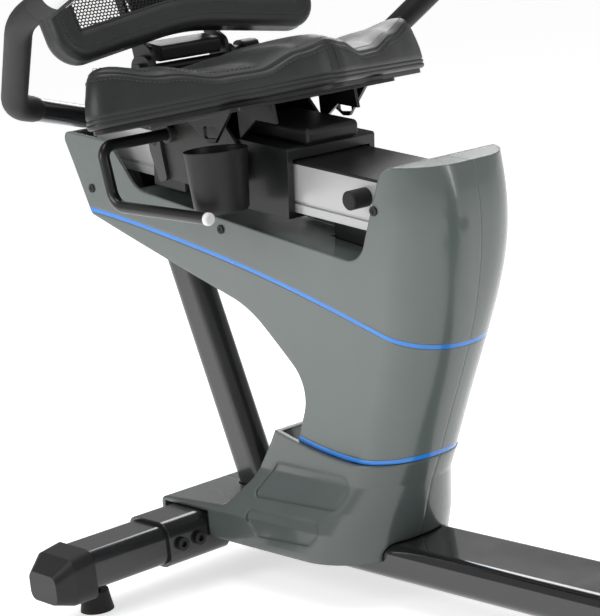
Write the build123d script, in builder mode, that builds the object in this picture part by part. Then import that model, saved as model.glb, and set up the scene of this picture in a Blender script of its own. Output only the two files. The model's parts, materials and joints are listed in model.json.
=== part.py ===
from build123d import *
import os
from math import atan2, cos, degrees, hypot, radians, sin, tan

os.makedirs("parts", exist_ok=True)

# Recumbent exercise bike.  Millimetres, +X towards the pedals and console,
# +Y to the rider's left, +Z up, floor at Z = 0.
# Every x below is measured forward from the rear stabiliser's centre line;
# the helper planes move it so that the finished bike is centred on X = 0.

MID = 567.0  # rear stabiliser's centre line to the middle of the bike

# ---- driving dimensions -------------------------------------------------
BEAM_W, BEAM_H, BEAM_BOTTOM, BEAM_R = 92.0, 40.0, 31.0, 12.0
WALL = 4.0  # moulded cover wall
STAB_D, STAB_H, STAB_Z, STAB_R = 68.0, 45.0, 54.5, 14.0  # stabiliser tube section
REAR_HALF, FRONT_HALF, FRONT_X = 248.0, 230.0, 1230.0
BEAM_START, BEAM_END = STAB_D / 2, FRONT_X - STAB_D / 2
CAP_L = 46.0

RAIL_X, RAIL_Z, RAIL_TILT = 300.0, 471.0, 7.2  # a point on the rail's top face, nose down
RAIL_W, RAIL_H = 104.0, 55.0
RAIL_BACK, RAIL_FRONT = -440.0, 72.0  # ends, along the rail from that point
STRIP_T = 3.0

SEAT_X, SEAT_Z, SEAT_TILT = 123.0, 541.0, 7.8  # widest point of the seat's underside, nose up
SEAT_HALF, SEAT_NOSE, SEAT_BACK, SEAT_T = 250.0, 118.0, 122.0, 50.0
SEAT_BACK_HALF = 138.0

COVER_HALF = 76.0
GAP = 0.3  # clearance between pieces that move past each other

PIVOT_X, PIVOT_Z, PIVOT_R = -22.0, 578.0, 6.0  # backrest recline axis
BACK_X, BACK_Z = 15.0, 600.0  # lower corners of the backrest's front face
RECLINE = 21.0
BACK_HALF, BACK_H, BACK_T = 181.0, 470.0, 34.0

LEVER_X, LEVER_Y, LEVER_Z, LEVER_R = 26.0, 162.0, 510.0, 6.5

CRANK_X, CRANK_Z, CRANK_L = 905.0, 325.0, 165.0
FLY_X, FLY_Z, FLY_R = 1092.0, 268.0, 88.0
PULLEY_R, SMALL_R, BELT_Y, BELT_W = 104.0, 20.0, 44.0, 12.0

MAST_FOOT = (1010.0, 590.0)
MAST_TOP = (915.0, 1085.0)
CONSOLE_TILT = 34.0  # screen leans back from upright


def level(z):
    return Plane(origin=(-MID, 0, z), x_dir=(1, 0, 0), z_dir=(0, 0, 1))


def side(y=0.0):
    """Upright plane along the bike; its normal points to the rider's right."""
    return Plane(origin=(-MID, y, 0), x_dir=(1, 0, 0), z_dir=(0, -1, 0))


def across(x):
    """Upright plane across the bike, facing forward."""
    return Plane(origin=(x - MID, 0, 0), x_dir=(0, 1, 0), z_dir=(1, 0, 0))


RAIL_C, RAIL_S = cos(radians(RAIL_TILT)), sin(radians(RAIL_TILT))


def rail_side(y=0.0):
    """Upright plane along the rail: x along it, y up from its top face."""
    return Plane(origin=(RAIL_X - MID, y, RAIL_Z), x_dir=(RAIL_C, 0, -RAIL_S), z_dir=(0, -1, 0))


def rail_across(u):
    """Plane square to the rail at a distance u along it."""
    origin = (RAIL_X - MID + u * RAIL_C, 0, RAIL_Z - u * RAIL_S)
    return Plane(origin=origin, x_dir=(0, 1, 0), z_dir=(RAIL_C, 0, -RAIL_S))


SEAT_C, SEAT_S = cos(radians(SEAT_TILT)), sin(radians(SEAT_TILT))


def seat_level(h):
    """Plane of the seat's underside, raised by h."""
    origin = (SEAT_X - MID - h * SEAT_S, 0, SEAT_Z + h * SEAT_C)
    return Plane(origin=origin, x_dir=(SEAT_C, 0, SEAT_S), z_dir=(-SEAT_S, 0, SEAT_C))


BACK_C, BACK_S = cos(radians(RECLINE)), sin(radians(RECLINE))


def back_face(d):
    """Plane of the backrest's front face, moved forward by d: x to the left, y up along it."""
    origin = (BACK_X - MID + d * BACK_C, 0, BACK_Z + d * BACK_S)
    return Plane(origin=origin, x_dir=(0, 1, 0), z_dir=(BACK_C, 0, BACK_S))


CON_C, CON_S = cos(radians(CONSOLE_TILT)), sin(radians(CONSOLE_TILT))


def console_face(d):
    """Plane of the console's face, moved towards the rider by d: x to the right."""
    origin = (MAST_TOP[0] - MID - 44 - d * CON_C, 0, MAST_TOP[1] + 74 + d * CON_S)
    return Plane(origin=origin, x_dir=(0, -1, 0), z_dir=(-CON_C, 0, CON_S))


def places(corners):
    return [corner[:2] for corner in corners]


def radii(corners):
    return [corner[2] for corner in corners]


def put(built, name):
    """Name a finished sub-part and write it."""
    built.part.label = name
    export_step(built.part, "parts/" + name + ".step")


def at(x, y, z):
    return (x - MID, y, z)


# ---- base frame ---------------------------------------------------------
with BuildPart() as base_beam:
    with BuildSketch(across(BEAM_START)):
        with Locations((0, BEAM_BOTTOM + BEAM_H / 2)):
            RectangleRounded(BEAM_W, BEAM_H, BEAM_R)
            RectangleRounded(BEAM_W - 6, BEAM_H - 6, BEAM_R - 3, mode=Mode.SUBTRACT)
    extrude(amount=BEAM_END - BEAM_START)
    # Bridge plate over the rear tube, on a riser welded to the beam.
    with BuildSketch(level(BEAM_BOTTOM + BEAM_H)):
        with Locations((62, 0)):
            Rectangle(52, 84)
    extrude(amount=STAB_Z + STAB_H / 2 - BEAM_BOTTOM - BEAM_H)
    with BuildSketch(level(STAB_Z + STAB_H / 2)):
        with Locations((26, 0)):
            RectangleRounded(124, 104, 10)
    extrude(amount=5)
put(base_beam, "base_beam")


with BuildPart() as rear_stabiliser:
    with BuildSketch(side(REAR_HALF)):
        with Locations((0, STAB_Z)):
            RectangleRounded(STAB_D, STAB_H, STAB_R)
            RectangleRounded(STAB_D - 6, STAB_H - 6, STAB_R - 3, mode=Mode.SUBTRACT)
    extrude(amount=2 * REAR_HALF)
put(rear_stabiliser, "rear_stabiliser")

WHEEL_X, WHEEL_Z, WHEEL_R = FRONT_X + STAB_D / 2 + 26, 36.0, 27.0
WHEEL_Y, WHEEL_W = 176.0, 16.0
LUG = [(FRONT_X + STAB_D / 2, 30), (WHEEL_X, 30), (WHEEL_X, 45), (FRONT_X + STAB_D / 2, 60)]
with BuildPart() as front_stabiliser:
    with BuildSketch(side(FRONT_HALF)):
        with Locations((FRONT_X, STAB_Z)):
            RectangleRounded(STAB_D, STAB_H, STAB_R)
            RectangleRounded(STAB_D - 6, STAB_H - 6, STAB_R - 3, mode=Mode.SUBTRACT)
    extrude(amount=2 * FRONT_HALF)
    # Lugs and axles for the transport wheels.
    for hand in (1, -1):
        for lug_y in (WHEEL_W / 2 + 5, -WHEEL_W / 2 - 1):
            with BuildSketch(side(hand * WHEEL_Y + lug_y)):
                with Locations((WHEEL_X, WHEEL_Z)):
                    Circle(9)
                Polygon(*LUG, align=None)
            extrude(amount=4)
        with BuildSketch(side(hand * WHEEL_Y + WHEEL_W / 2 + 1)):
            with Locations((WHEEL_X, WHEEL_Z)):
                Circle(4)
        extrude(amount=WHEEL_W + 2)
put(front_stabiliser, "front_stabiliser")

# Moulded end caps: they butt on the tube and taper to a smaller outer face.
with BuildPart() as end_caps:
    for cap_x, tube_half in ((0.0, REAR_HALF), (FRONT_X, FRONT_HALF)):
        for hand in (1, -1):
            with BuildSketch(side(hand * tube_half)):
                with Locations((cap_x, STAB_Z - 3)):
                    RectangleRounded(STAB_D + 8, STAB_H + 12, STAB_R)
            with BuildSketch(side(hand * (tube_half + 26))):
                with Locations((cap_x, STAB_Z - 5)):
                    RectangleRounded(STAB_D + 6, STAB_H + 8, STAB_R)
            with BuildSketch(side(hand * (tube_half + CAP_L))):
                with Locations((cap_x, STAB_Z - 10)):
                    RectangleRounded(STAB_D - 16, STAB_H - 12, STAB_R - 4)
            loft(ruled=True)
put(end_caps, "end_caps")

FOOT_TOP = STAB_Z - STAB_H / 2 - 9
with BuildPart() as feet:
    for foot_x, tube_half in ((0.0, REAR_HALF), (FRONT_X, FRONT_HALF)):
        for hand in (1, -1):
            foot_y = hand * (tube_half - 20)
            with BuildSketch(level(0)):
                with Locations((foot_x, foot_y)):
                    Circle(19)
            with BuildSketch(level(FOOT_TOP)):
                with Locations((foot_x, foot_y)):
                    Circle(15)
            loft()
            with BuildSketch(level(FOOT_TOP)):
                with Locations((foot_x, foot_y)):
                    Circle(6)
            extrude(amount=STAB_Z - STAB_H / 2 - FOOT_TOP)
put(feet, "feet")

COLLAR_IN, COLLAR_OUT = 62.0, 146.0
with BuildPart() as stabiliser_collars:
    for hand in (1, -1):
        with BuildSketch(side(hand * COLLAR_IN)):
            with Locations((0, STAB_Z)):
                RectangleRounded(STAB_D + 8, STAB_H + 8, STAB_R + 3)
                RectangleRounded(STAB_D, STAB_H, STAB_R, mode=Mode.SUBTRACT)
        extrude(amount=-hand * (COLLAR_OUT - COLLAR_IN))
put(stabiliser_collars, "stabiliser_collars")

BOLT_Y = (106.0, 130.0)
COLLAR_FRONT = STAB_D / 2 + 4
with BuildPart() as stabiliser_bolts:
    for hand in (1, -1):
        for bolt_y in BOLT_Y:
            with Locations(Plane(origin=at(COLLAR_FRONT, hand * bolt_y, STAB_Z), z_dir=(1, 0, 0))):
                Cylinder(7.5, 5, align=(Align.CENTER, Align.CENTER, Align.MIN))
                Cylinder(3.6, 5, align=(Align.CENTER, Align.CENTER, Align.MIN), mode=Mode.SUBTRACT)
                Cylinder(7.5, 1.5, align=(Align.CENTER, Align.CENTER, Align.MIN))
put(stabiliser_bolts, "stabiliser_bolts")

# ---- rail and its supports ----------------------------------------------
with BuildPart() as seat_rail:
    with BuildSketch(rail_across(RAIL_BACK)):
        with Locations((0, -STRIP_T - (RAIL_H - STRIP_T) / 2)):
            Rectangle(RAIL_W, RAIL_H - STRIP_T)
            RectangleRounded(RAIL_W - 10, RAIL_H - STRIP_T - 10, 4, mode=Mode.SUBTRACT)
        for hand in (1, -1):
            with Locations((hand * RAIL_W / 2, -44)):
                Rectangle(5, 3.5, mode=Mode.SUBTRACT)
    extrude(amount=RAIL_FRONT - RAIL_BACK)
put(seat_rail, "seat_rail")

with BuildPart() as rail_top_strip:
    with BuildSketch(rail_side(RAIL_W / 2)):
        with Locations(((RAIL_BACK + RAIL_FRONT) / 2, -STRIP_T / 2)):
            Rectangle(RAIL_FRONT - RAIL_BACK, STRIP_T)
    extrude(amount=RAIL_W)
    chamfer(rail_top_strip.edges().filter_by(Axis((0, 0, 0), (RAIL_C, 0, -RAIL_S))).group_by(Axis.Z)[-1], 1)
put(rail_top_strip, "rail_top_strip")

BUMPER_U, BUMPER_V = 22.0, -20.0
with BuildPart() as rail_bumpers:
    for hand in (1, -1):
        with BuildSketch(rail_side(hand * RAIL_W / 2)):
            with Locations((BUMPER_U, BUMPER_V)):
                Circle(10)
        extrude(amount=-hand * 24)
    chamfer(rail_bumpers.edges().filter_by(GeomType.CIRCLE).group_by(Axis.Y)[-1], 1.5)
    chamfer(rail_bumpers.edges().filter_by(GeomType.CIRCLE).group_by(Axis.Y)[0], 1.5)
put(rail_bumpers, "rail_bumpers")


def rail_bottom(x):
    """Height of the rail's underside above the floor at x."""
    return RAIL_Z - (x - RAIL_X) * tan(radians(RAIL_TILT)) - RAIL_H / RAIL_C


BEAM_TOP = BEAM_BOTTOM + BEAM_H
POST_HALF = 28.0
STRUT_FOOT, STRUT_HEAD = (40.0, 55.0), (-103.0, 466.0)
STRUT_L = hypot(STRUT_HEAD[0] - STRUT_FOOT[0], STRUT_HEAD[1] - STRUT_FOOT[1])
STRUT_DIR = ((STRUT_HEAD[0] - STRUT_FOOT[0]) / STRUT_L, 0, (STRUT_HEAD[1] - STRUT_FOOT[1]) / STRUT_L)
STRUT_A, STRUT_B = 54.0, 32.0
STRUT_PLANE = Plane(origin=at(STRUT_FOOT[0], 0, STRUT_FOOT[1]), x_dir=(0, 1, 0), z_dir=STRUT_DIR)
BRIDGE_TOP = STAB_Z + STAB_H / 2 + 5
POST = [(222, BEAM_TOP), (284, BEAM_TOP), (338, rail_bottom(338)), (240, rail_bottom(240))]
# Box post under the rail's front half and an oval strut under its rear half.
with BuildPart() as rail_supports:
    with BuildSketch(STRUT_PLANE):
        RectangleRounded(STRUT_B, STRUT_A, STRUT_B / 2 - 0.1)
        RectangleRounded(STRUT_B - 5, STRUT_A - 5, STRUT_B / 2 - 2.6, mode=Mode.SUBTRACT)
    extrude(amount=STRUT_L)
    with BuildSketch(side(60)):
        Polygon((-120, 0), (160, 0), (160, BRIDGE_TOP), (-120, BRIDGE_TOP), align=None)
        Polygon((-190, rail_bottom(-190)), (-20, rail_bottom(-20)), (-20, 620), (-190, 620), align=None)
    extrude(amount=120, mode=Mode.SUBTRACT)
    with BuildSketch(side(POST_HALF)):
        Polygon(*POST, align=None)
    extrude(amount=2 * POST_HALF)
    with BuildSketch(side(POST_HALF - 3)):
        Polygon((225.4, BEAM_TOP), (281, BEAM_TOP), (334.8, 440), (243.4, 440), align=None)
    extrude(amount=2 * (POST_HALF - 3), mode=Mode.SUBTRACT)
put(rail_supports, "rail_supports")

# ---- pedestal covers ----------------------------------------------------
# Side outline of the pedestal as corners (x, z, radius): tail, low deck beside
# the rail, hump at the rail's front end, leaning front and waist.
PEDESTAL = [
    (-135, 414, 8), (-176, 512, 9), (-84, 500, 16), (-42, 446, 40), (326, 383, 30), (372, 484, 16),
    (450, 479, 4), (450, 140, 4), (163, 140, 4), (208, 238, 48), (128, 322, 110),
]
# Its level sections (z, half width, front x, nose radius): the front leans and is
# rounded across, and the pedestal narrows from the rail to the waist.
PEDESTAL_SECTIONS = [
    (120, 60, 310, 58), (170, 60, 337, 58), (225, 60, 363, 58), (275, 62, 387, 60), (325, 68, 407, 62),
    (375, 74, 421, 62), (425, 76, 428, 62), (475, 76, 424, 60), (525, 76, 414, 56),
]


def mirrored(corners):
    """A half outline on the +y side, closed by its mirror image."""
    return corners + [(-y, z, r) for y, z, r in reversed(corners)]


def nosed_solid(side_outline, sections, inset, ruled=False):
    """The side outline cut to a stack of level sections with rounded fronts, moved in by inset."""
    with BuildPart() as solid:
        for z, half, front, nose in sections:
            with BuildSketch(level(z)):
                with BuildLine():
                    FilletPolyline(
                        (-260, inset - half), (front - inset, inset - half), (front - inset, half - inset),
                        (-260, half - inset), radius=[1, nose - inset, nose - inset, 1], close=True)
                make_face()
        loft(ruled=ruled)
        with BuildSketch(side(110)):
            with BuildLine():
                FilletPolyline(*places(side_outline), radius=radii(side_outline), close=True)
            make_face()
            if inset:
                offset(amount=-inset, kind=Kind.INTERSECTION)
        extrude(amount=220, mode=Mode.INTERSECT)
    return solid.part


def crossed_solid(side_outline, front_outline, half, inset):
    """The side outline crossed with the front one, both moved in by inset."""
    with BuildPart() as solid:
        with BuildSketch(side(half)):
            with BuildLine():
                FilletPolyline(*places(side_outline), radius=radii(side_outline), close=True)
            make_face()
            if inset:
                offset(amount=-inset, kind=Kind.INTERSECTION)
        extrude(amount=2 * half)
        with BuildSketch(across(-300)):
            with BuildLine():
                FilletPolyline(*places(front_outline), radius=radii(front_outline), close=True)
            make_face()
            if inset:
                offset(amount=-inset, kind=Kind.INTERSECTION)
        extrude(amount=1900, mode=Mode.INTERSECT)
    return solid.part


pedestal_inner = nosed_solid(PEDESTAL, PEDESTAL_SECTIONS, WALL)
with BuildPart() as pedestal_outer:
    add(nosed_solid(PEDESTAL, PEDESTAL_SECTIONS, 0))

# Accent lines (x, z) along the side: the upper one splits the upper cover from
# the lower one, and the lower one closes the lower cover above the boot.
UPPER_LINE = [(-210, 424), (-120, 417), (5, 396), (160, 362), (297, 322), (400, 292), (500, 284)]
LOWER_LINE = [(60, 215), (163, 184), (262, 167), (350, 172), (450, 208)]
TRIM_H = 5.0


def band_region(line, low, high):
    """Face between an accent line moved down by low and up by high."""
    below = [(x, z - low) for x, z in line]
    above = [(x, z + high) for x, z in reversed(line)]
    Spline(*below)
    Line(below[-1], above[0])
    Spline(*above)
    Line(above[-1], below[0])


with BuildPart() as pedestal_shell:
    add(pedestal_outer.part)
    add(pedestal_inner, mode=Mode.SUBTRACT)
    # The rail runs through the tail and into the hump, with room for the carriage behind.
    with BuildSketch(rail_side(RAIL_W / 2 + 3)):
        with Locations((-100, -RAIL_H / 2)):
            Rectangle(350, RAIL_H + 6)
    extrude(amount=RAIL_W + 6, mode=Mode.SUBTRACT)
    with BuildSketch(side(COVER_HALF - WALL + 0.6)):
        Polygon((-158, 640), (-158, 462), (-100, 454), (-30, 444), (-30, 640), align=None)
    extrude(amount=2 * (COVER_HALF - WALL + 0.6), mode=Mode.SUBTRACT)
    # The post comes up through the deck, the strut through the tail.
    with BuildSketch(side(POST_HALF + 2)):
        Polygon((232, 360), (342, 360), (342, 440), (232, 440), align=None)
    extrude(amount=2 * POST_HALF + 4, mode=Mode.SUBTRACT)
    with BuildSketch(STRUT_PLANE):
        RectangleRounded(STRUT_B + 5, STRUT_A + 5, STRUT_B / 2 + 2)
    extrude(amount=STRUT_L + 30, mode=Mode.SUBTRACT)
    # Open foot, over the post and the beam.
    with BuildSketch(side(80)):
        Polygon((100, 120), (400, 120), (400, 152), (100, 152), align=None)
    extrude(amount=160, mode=Mode.SUBTRACT)

with BuildPart() as above_upper:
    with BuildSketch(side(90)):
        with BuildLine():
            band_region(UPPER_LINE, -TRIM_H / 2, 400)
        make_face()
    extrude(amount=180)
with BuildPart() as upper_band:
    with BuildSketch(side(90)):
        with BuildLine():
            band_region(UPPER_LINE, TRIM_H / 2, TRIM_H / 2)
        make_face()
    extrude(amount=180)
with BuildPart() as middle_band:
    with BuildSketch(side(90)):
        with BuildLine():
            Spline(*[(x, z + TRIM_H / 2) for x, z in LOWER_LINE])
            Line((450, 208 + TRIM_H / 2), (500, 284 - TRIM_H / 2))
            Spline(*[(x, z - TRIM_H / 2) for x, z in reversed(UPPER_LINE)])
            Line((-210, 424 - TRIM_H / 2), (60, 215 + TRIM_H / 2))
        make_face()
    extrude(amount=180)
with BuildPart() as lower_band:
    with BuildSketch(side(90)):
        with BuildLine():
            band_region(LOWER_LINE, TRIM_H / 2, TRIM_H / 2)
        make_face()
    extrude(amount=180)

HANDS = ((Keep.TOP, "right"), (Keep.BOTTOM, "left"))  # the XZ plane's normal points right
for keep, hand in HANDS:
    with BuildPart() as upper_cover:
        add(pedestal_shell.part)
        add(above_upper.part, mode=Mode.INTERSECT)
        split(bisect_by=Plane.XZ, keep=keep)
    put(upper_cover, "upper_cover_" + hand)
    with BuildPart() as pedestal_cover:
        add(pedestal_shell.part)
        add(middle_band.part, mode=Mode.INTERSECT)
        split(bisect_by=Plane.XZ, keep=keep)
    put(pedestal_cover, "pedestal_cover_" + hand)

with BuildPart() as accent_trims:
    add(upper_band.part)
    add(lower_band.part)
    add(pedestal_shell.part, mode=Mode.INTERSECT)
put(accent_trims, "accent_trims")

# ---- boot over the foot of the pedestal ---------------------------------
BOOT = [
    (-46, 44, 3), (-46, 87, 8), (70, 92, 30), (108, 126, 20), (158, 200, 4), (400, 240, 4), (400, 44, 3),
]
BOOT_SECTIONS = [
    (30, 90, 286, 82), (60, 91, 292, 83), (85, 90, 300, 82), (110, 80, 309, 74), (138, 67, 320, 65),
    (170, 65, 337, 63), (205, 66, 355, 63), (245, 67, 375, 63),
]
# Recessed panels on both flanks (x, z, radius).
BOOT_PANELS = [
    [(98, 94, 8), (126, 66, 12), (214, 70, 12), (246, 98, 10)],
    [(112, 108, 5), (146, 148, 8), (276, 148, 14), (250, 112, 10)],
]
boot_outer = nosed_solid(BOOT, BOOT_SECTIONS, 0, ruled=True)
boot_skin = nosed_solid(BOOT, BOOT_SECTIONS, 2, ruled=True)
with BuildPart() as boot_shell:
    add(boot_outer)
    for panel in BOOT_PANELS:
        with BuildPart(mode=Mode.PRIVATE) as recess:
            with BuildSketch(side(100)):
                with BuildLine():
                    FilletPolyline(*places(panel), radius=radii(panel), close=True)
                make_face()
            extrude(amount=200)
            add(boot_skin, mode=Mode.SUBTRACT)
        add(recess.part, mode=Mode.SUBTRACT)
    add(nosed_solid(BOOT, BOOT_SECTIONS, WALL + 1, ruled=True), mode=Mode.SUBTRACT)
    # Open underneath, over the beam, and over the cross tube and its collars.
    with BuildSketch(side(100)):
        Polygon((-80, 20), (400, 20), (400, 52), (-80, 52), align=None)
        with Locations((0, STAB_Z - 10)):
            Rectangle(STAB_D + 12, STAB_H + 30)
    extrude(amount=200, mode=Mode.SUBTRACT)
    with BuildSketch(across(200)):
        with Locations((0, BEAM_BOTTOM + BEAM_H / 2)):
            RectangleRounded(BEAM_W + 2, BEAM_H + 2, BEAM_R + 1)
    extrude(amount=200, mode=Mode.SUBTRACT)
    with BuildSketch(STRUT_PLANE):
        RectangleRounded(STRUT_B + 5, STRUT_A + 5, STRUT_B / 2 + 2)
    extrude(amount=STRUT_L, mode=Mode.SUBTRACT)
    # Its upper edge follows the lower accent line, around the pedestal's foot.
    with BuildSketch(side(100)):
        with BuildLine():
            band_region(LOWER_LINE, TRIM_H / 2 + 0.5, 200)
        make_face()
    extrude(amount=200, mode=Mode.SUBTRACT)
for keep, hand in HANDS:
    with BuildPart() as boot:
        add(boot_shell.part)
        split(bisect_by=Plane.XZ, keep=keep)
    put(boot, "boot_" + hand)

# Cover screws: shallow pan heads lying on the covers' outer faces.
SCREW_HEADS = [(356, COVER_HALF, 440), (107, COVER_HALF, 408), (-128, COVER_HALF, 444)]
with BuildPart() as cover_screws:
    for screw_x, screw_y, screw_z in SCREW_HEADS:
        for hand in (1, -1):
            with BuildSketch(side(hand * screw_y)):
                with Locations((screw_x, screw_z)):
                    Circle(5)
            extrude(amount=-hand * 1.6)
            with BuildSketch(side(hand * (screw_y + 1.6))):
                with Locations((screw_x, screw_z)):
                    Rectangle(6, 1)
                    Rectangle(1, 6)
            extrude(amount=hand * 0.8, mode=Mode.SUBTRACT)
put(cover_screws, "cover_screws")

# ---- seat carriage: slides on the rail ----------------------------------
SLIDER_FRONT, SLIDER_REAR = (-171.0, -86.0), (-318.0, -262.0)  # along the rail
CHEEK_IN, CHEEK_OUT = RAIL_W / 2 + 2.6, RAIL_W / 2 + 10
PLATE_V = (1.6, 13.6)
PADDLE_X, PADDLE_Z, PADDLE_R = -3.0, 500.0, 4.0
PADDLE_Y = (66.4, 71.2)
LIP_V = (-RAIL_H - 6.0, -RAIL_H - 1.2)


def block(low, high):
    """Box between two corners of the current workplane's axes."""
    with Locations(((low[0] + high[0]) / 2, (low[1] + high[1]) / 2)):
        Rectangle(high[0] - low[0], high[1] - low[1])


with BuildPart() as carriage:
    with BuildSketch(rail_side(CHEEK_OUT)):
        block((SLIDER_REAR[0], PLATE_V[0]), (SLIDER_FRONT[1], PLATE_V[1]))
    extrude(amount=2 * CHEEK_OUT)
    for low, high in (SLIDER_FRONT, SLIDER_REAR):
        for hand in (1, -1):
            with BuildSketch(rail_side(hand * CHEEK_OUT)):
                block((low, LIP_V[0]), (high, PLATE_V[0]))
            extrude(amount=hand * (CHEEK_OUT - CHEEK_IN))
            with BuildSketch(rail_side(hand * CHEEK_IN)):
                block((low, LIP_V[0]), (high, LIP_V[1]))
            extrude(amount=hand * 16)
    chamfer(carriage.edges().group_by(Axis.X)[-1], 2)
    # Shoulder pin for the release paddle.
    for pin_r, pin_end in ((8, PADDLE_Y[0] - 0.2), (PADDLE_R, PADDLE_Y[1] + 0.6)):
        with BuildSketch(side(-CHEEK_OUT + 1)):
            with Locations((PADDLE_X, PADDLE_Z)):
                Circle(pin_r)
        extrude(amount=pin_end - CHEEK_OUT + 1)
put(carriage, "carriage")

with BuildPart() as glide_pads:
    for low, high in (SLIDER_FRONT, SLIDER_REAR):
        for hand in (1, -1):
            with BuildSketch(rail_side(hand * CHEEK_IN)):
                block((low + 3, -40), (high - 3, -8))
            extrude(amount=hand * 2.4)
        with BuildSketch(rail_side(40)):
            block((low + 3, 0.2), (high - 3, PLATE_V[0]))
        extrude(amount=80)
put(glide_pads, "glide_pads")

with BuildPart() as carriage_cover:
    with BuildSketch(rail_side(36)):
        with Locations((-134, PLATE_V[1] + 9)):
            RectangleRounded(104, 18, 6)
    extrude(amount=72)
    fillet(carriage_cover.edges().group_by(Axis.Y)[-1], 4)
    fillet(carriage_cover.edges().group_by(Axis.Y)[0], 4)
put(carriage_cover, "carriage_cover")


def above_rail(x, v):
    """Height above the floor of a point at x, v above the rail's top face."""
    return RAIL_Z - (x - RAIL_X) * tan(radians(RAIL_TILT)) + v / RAIL_C


def under_seat(x, h):
    """Height above the floor of a point at x, h above the seat's underside."""
    return SEAT_Z + (x - SEAT_X) * tan(radians(SEAT_TILT)) + h / SEAT_C


PLATE_T = 4.0
PAN_T = 5.0
# Side plates: bolted outside the carriage's cheeks, they carry the seat mount.
with BuildPart() as side_plates:
    for hand in (1, -1):
        with BuildSketch(side(hand * (CHEEK_OUT + PLATE_T))):
            Polygon(
                (8, above_rail(8, -48)), (138, above_rail(138, -54)), (138, above_rail(138, 8)),
                (112, under_seat(112, -PAN_T - PLATE_T)), (46, under_seat(46, -PAN_T - PLATE_T)),
                (8, above_rail(8, 8)), align=None)
            with Locations((LEVER_X, LEVER_Z)):
                Circle(LEVER_R + 0.06, mode=Mode.SUBTRACT)
        extrude(amount=hand * PLATE_T)
    # Bush for the adjustment lever's cross rod.
    with BuildSketch(side(-CHEEK_OUT - PLATE_T)):
        with Locations((LEVER_X, LEVER_Z)):
            Circle(10)
            Circle(LEVER_R + 0.06, mode=Mode.SUBTRACT)
    extrude(amount=9)
put(side_plates, "side_plates")

with BuildPart() as seat_mount:
    with BuildSketch(seat_level(-PAN_T - PLATE_T)):
        with Locations((2, 0)):
            RectangleRounded(156, 236, 12)
        for hand in (1, -1):
            with Locations((24, hand * 104), (58, hand * 104)):
                SlotOverall(20, 7, rotation=90, mode=Mode.SUBTRACT)
    extrude(amount=PLATE_T)
    for web in (1, -1):
        with BuildSketch(side(web * 60)):
            Polygon(
                (138, under_seat(138, -PAN_T - PLATE_T)), (197, under_seat(197, -PAN_T - PLATE_T)),
                (200, above_rail(200, PLATE_V[1] + 24)), (168, above_rail(168, PLATE_V[1] + 24)),
                (138, above_rail(138, PLATE_V[1])), align=None)
        extrude(amount=web * PLATE_T)
        with BuildSketch(side(77 if web > 0 else -116)):
            Polygon(
                (124, under_seat(124, -PAN_T - PLATE_T)), (196, under_seat(196, -PAN_T - PLATE_T)),
                (166, 510), (156, 510), align=None)
            with Locations((160, 521)):
                RectangleRounded(22, 13, 3, mode=Mode.SUBTRACT)
        extrude(amount=web * PLATE_T)
put(seat_mount, "seat_mount")

# Seat outline, x forward from its widest line.
SEAT_OUTLINE = [
    (SEAT_NOSE + 4, 0, 45), (0, SEAT_HALF, 24), (-SEAT_BACK, SEAT_BACK_HALF, 40),
    (-SEAT_BACK, -SEAT_BACK_HALF, 40), (0, -SEAT_HALF, 24),
]
with BuildPart() as seat_pan:
    with BuildSketch(seat_level(-PAN_T)):
        with BuildLine():
            FilletPolyline(*places(SEAT_OUTLINE), radius=radii(SEAT_OUTLINE), close=True)
        make_face()
        offset(amount=-7)
        with Locations((46, 66), (46, -66)):
            SlotOverall(58, 9, rotation=90, mode=Mode.SUBTRACT)
        with Locations((-SEAT_BACK, 0)):
            Rectangle(110, 2 * CHEEK_OUT + 10, mode=Mode.SUBTRACT)
    extrude(amount=PAN_T)
put(seat_pan, "seat_pan")

with BuildPart() as seat_cushion:
    with BuildSketch(seat_level(0)):
        with BuildLine():
            FilletPolyline(*places(SEAT_OUTLINE), radius=radii(SEAT_OUTLINE), close=True)
        make_face()
    extrude(amount=SEAT_T, taper=6)
    fillet(seat_cushion.faces().sort_by(Axis.Z)[-1].edges(), 8)
put(seat_cushion, "seat_cushion")

# Open tapered cup on a bracket from the right side plate.
CUP_X, CUP_Y, CUP_TOP, CUP_BOTTOM, CUP_R, CUP_FOOT_R = 160.0, -112.0, 503.0, 437.0, 34.0, 29.0
with BuildPart() as side_cup:
    with BuildSketch(level(CUP_BOTTOM)):
        with Locations((CUP_X, CUP_Y)):
            Circle(CUP_FOOT_R)
    with BuildSketch(level(CUP_TOP)):
        with Locations((CUP_X, CUP_Y)):
            Circle(CUP_R)
    loft()
    fillet(side_cup.edges().group_by(Axis.Z)[0], 5)
    with BuildSketch(level(CUP_BOTTOM + 3)):
        with Locations((CUP_X, CUP_Y)):
            Circle(CUP_FOOT_R - 2.6)
    with BuildSketch(level(CUP_TOP)):
        with Locations((CUP_X, CUP_Y)):
            Circle(CUP_R - 2.6)
    loft(mode=Mode.SUBTRACT)
    with BuildSketch(side(-CHEEK_OUT - PLATE_T)):
        block((100, 458), (136, 490))
    extrude(amount=PLATE_T)
    with BuildSketch(side(-CHEEK_OUT - PLATE_T)):
        block((128, 458), (136, 490))
    extrude(amount=20)
    with BuildSketch(level(CUP_BOTTOM + 3)):
        with Locations((CUP_X, CUP_Y)):
            Circle(CUP_FOOT_R - 2.6)
    with BuildSketch(level(CUP_TOP)):
        with Locations((CUP_X, CUP_Y)):
            Circle(CUP_R - 2.6)
    loft(mode=Mode.SUBTRACT)
put(side_cup, "side_cup")

UPRIGHT_IN, UPRIGHT_OUT = 56.0, 62.0  # plates that carry the backrest

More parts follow.
